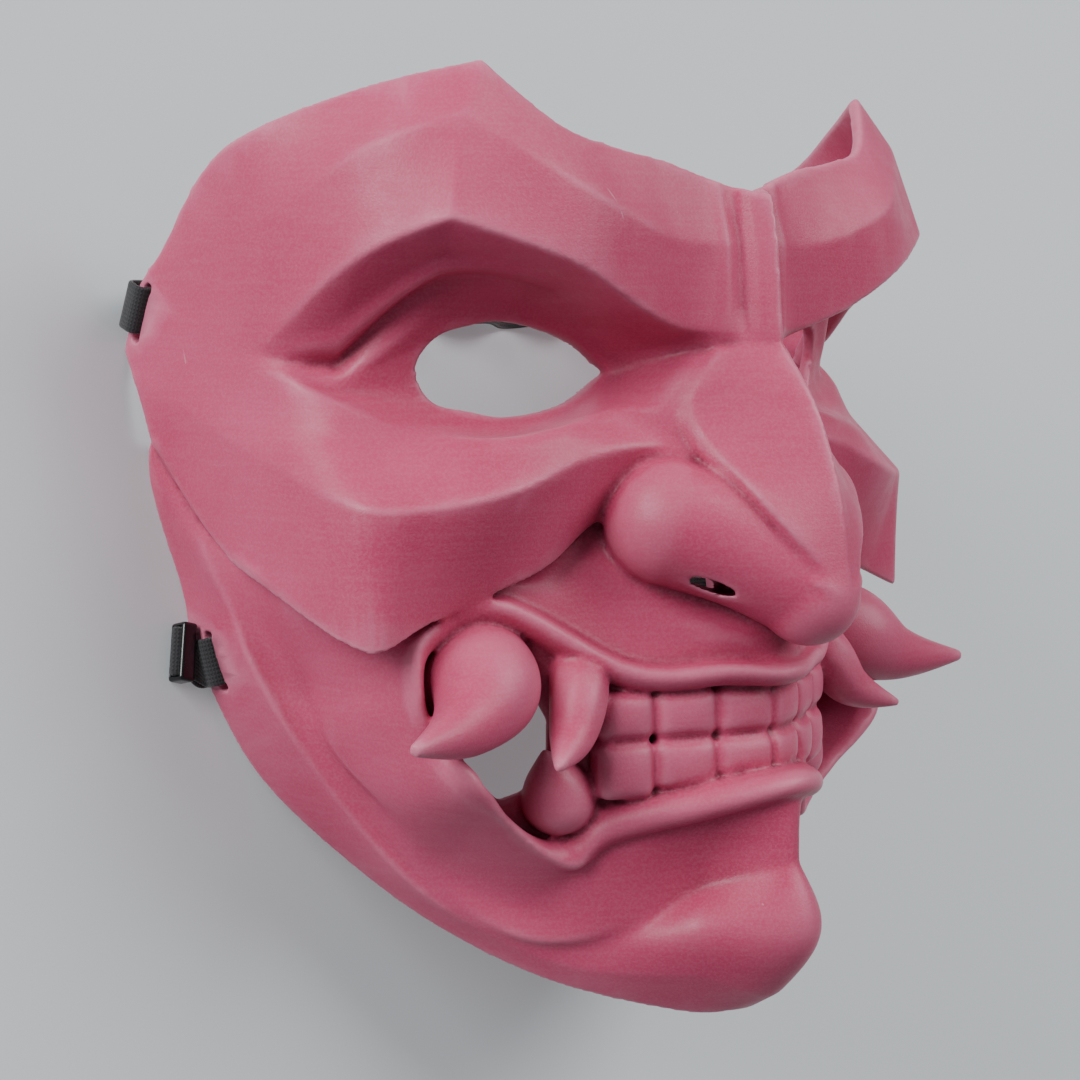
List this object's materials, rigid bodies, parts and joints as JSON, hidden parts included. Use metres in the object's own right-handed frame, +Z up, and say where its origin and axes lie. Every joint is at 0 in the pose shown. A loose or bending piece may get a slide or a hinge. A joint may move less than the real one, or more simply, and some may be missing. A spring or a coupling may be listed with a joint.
{
  "type": "face mask",
  "caption": "Hollow full-face demon mask with brow horns, cheek guards, hooked nose, bared teeth and tusks, held on by elastic straps through slots in its side rims.",
  "frame": {"origin": "centre of the bounding box on the floor, under the mask lying face up", "axes": "+Z up out of the face as the mask lies on its side rims, +X to the wearer's left, +Y towards the top of the head"},
  "size_m": [0.2008, 0.2198, 0.1266],
  "materials": {
    "moulded_pink": "satin raspberry pink moulded plastic",
    "black_elastic": "woven black elastic",
    "black_plastic": "glossy black moulded plastic"
  },
  "bodies": {
    "root": {"mask_shell": "moulded_pink", "upper_strap": "black_elastic", "lower_strap": "black_elastic", "slider": "black_plastic"}
  },
  "joints": []
}
